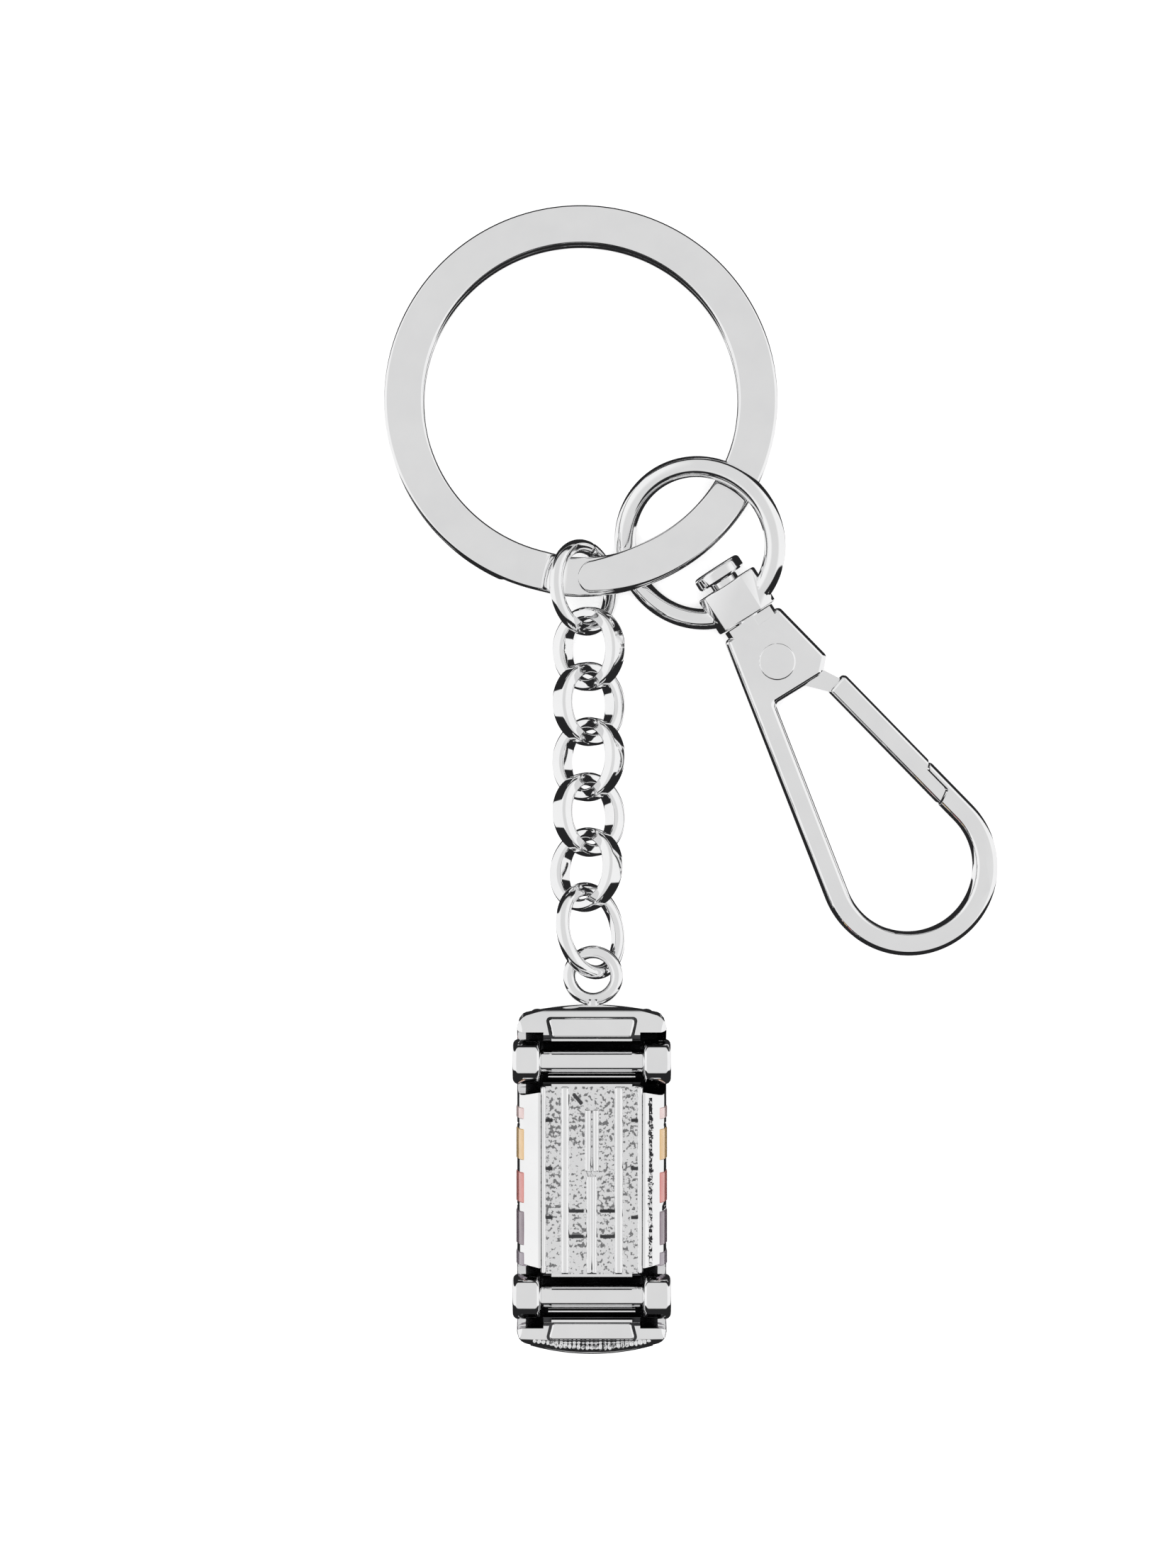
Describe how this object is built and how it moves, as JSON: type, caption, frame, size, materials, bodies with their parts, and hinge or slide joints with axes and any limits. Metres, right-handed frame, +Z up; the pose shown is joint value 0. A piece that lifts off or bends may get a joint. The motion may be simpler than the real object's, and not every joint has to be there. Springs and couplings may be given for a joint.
{
  "type": "keychain",
  "caption": "Keychain: flat split ring with a swivelling snap hook and a short link chain carrying a small city car charm with rolling wheels.",
  "frame": {"origin": "centre of the split ring's hole", "axes": "+Y along the keychain from the charm to the split ring, +Z up from the surface that it lies on, +X to the side of the snap hook"},
  "size_m": [0.0469, 0.0867, 0.0109],
  "materials": {
    "ring_chrome": "polished",
    "hook_chrome": "polished",
    "spring_steel": "satin",
    "chain_chrome": "polished",
    "car_chrome": "polished",
    "chassis_metal": "hammered",
    "axle_chrome": "polished",
    "wheel_chrome": "polished",
    "window_enamel": "gloss",
    "enamel_pink": "gloss",
    "enamel_amber": "gloss",
    "enamel_red": "gloss",
    "enamel_plum": "gloss",
    "enamel_slate": "gloss"
  },
  "bodies": {
    "split_ring": {"split_ring": "ring_chrome"},
    "eye": {"swivel_eye": "hook_chrome"},
    "hook": {"hook_body": "hook_chrome", "swivel_post": "hook_chrome", "gate_rivet": "hook_chrome", "gate_spring": "spring_steel"},
    "gate": {"gate": "hook_chrome"},
    "jump_ring_top": {"jump_ring_top": "chain_chrome"},
    "link_1": {"link_1": "chain_chrome"},
    "link_2": {"link_2": "chain_chrome"},
    "link_3": {"link_3": "chain_chrome"},
    "link_4": {"link_4": "chain_chrome"},
    "link_5": {"link_5": "chain_chrome"},
    "jump_ring_bottom": {"jump_ring_bottom": "chain_chrome"},
    "charm": {"charm_eye": "chain_chrome", "car_body": "car_chrome", "chassis_plate": "chassis_metal", "enamel_pink": "enamel_pink", "enamel_amber": "enamel_amber", "enamel_red": "enamel_red", "enamel_plum": "enamel_plum", "enamel_slate": "enamel_slate", "windows": "window_enamel"},
    "rear_wheelset": {"rear_axle": "axle_chrome", "wheel_rear_left": "wheel_chrome", "wheel_rear_right": "wheel_chrome"},
    "front_wheelset": {"front_axle": "axle_chrome", "wheel_front_left": "wheel_chrome", "wheel_front_right": "wheel_chrome"}
  },
  "joints": [
    {"name": "eye_round_ring", "type": "hinge", "parent": "split_ring", "child": "eye", "pos_m": [0, 0, 0], "axis": [0, 0.0732, 0.9973], "range_deg": [0, 240]},
    {"name": "hook_swivel", "type": "hinge", "parent": "eye", "child": "hook", "pos_m": [0.00907, -0.01093, 0.00065], "axis": [0.544, -0.8376, -0.0497], "continuous": true},
    {"name": "gate_open", "type": "hinge", "parent": "hook", "child": "gate", "pos_m": [0.01492, -0.01993, 0.00012], "axis": [-0.0271, 0.0417, -0.9988], "range_deg": [0, 20], "stiffness_Nm_per_rad": 0.002, "springref_deg": -20.05},
    {"name": "top_ring_swing", "type": "hinge", "parent": "split_ring", "child": "jump_ring_top", "pos_m": [0.0002, -0.01346, 0.00099], "axis": [1, 0, 0], "range_deg": [-8, 30]},
    {"name": "link_1_swing", "type": "hinge", "parent": "jump_ring_top", "child": "link_1", "pos_m": [0.00047, -0.01746, 0.00068], "axis": [0.6421, 0.0351, -0.7658], "range_deg": [-30, 30]},
    {"name": "link_2_swing", "type": "hinge", "parent": "link_1", "child": "link_2", "pos_m": [0.00073, -0.02174, 0.00083], "axis": [0.7527, 0.0613, 0.6556], "range_deg": [-30, 30]},
    {"name": "link_3_swing", "type": "hinge", "parent": "link_2", "child": "link_3", "pos_m": [0.00061, -0.02594, 0.00119], "axis": [-0.7546, 0.0585, 0.6536], "range_deg": [-30, 30]},
    {"name": "link_4_swing", "type": "hinge", "parent": "link_3", "child": "link_4", "pos_m": [0.00058, -0.03014, 0.00185], "axis": [-0.7547, -0.0963, -0.6489], "range_deg": [-30, 30]},
    {"name": "link_5_swing", "type": "hinge", "parent": "link_4", "child": "link_5", "pos_m": [0.00056, -0.03432, 0.00273], "axis": [0.7518, -0.1432, -0.6436], "range_deg": [-30, 30]},
    {"name": "bottom_ring_swing", "type": "hinge", "parent": "link_5", "child": "jump_ring_bottom", "pos_m": [0.00044, -0.03844, 0.00379], "axis": [0.7522, 0.1749, 0.6353], "range_deg": [-30, 30]},
    {"name": "charm_swing", "type": "hinge", "parent": "jump_ring_bottom", "child": "charm", "pos_m": [0.00096, -0.04344, 0.00517], "axis": [-0.653, 0.1306, 0.746], "range_deg": [-30, 30]},
    {"name": "rear_wheels_roll", "type": "hinge", "parent": "charm", "child": "rear_wheelset", "pos_m": [0.00083, -0.05002, 0.00686], "axis": [1, 0, 0], "continuous": true},
    {"name": "front_wheels_roll", "type": "hinge", "parent": "charm", "child": "front_wheelset", "pos_m": [0.00083, -0.06755, 0.00686], "axis": [1, 0, 0], "continuous": true}
  ]
}
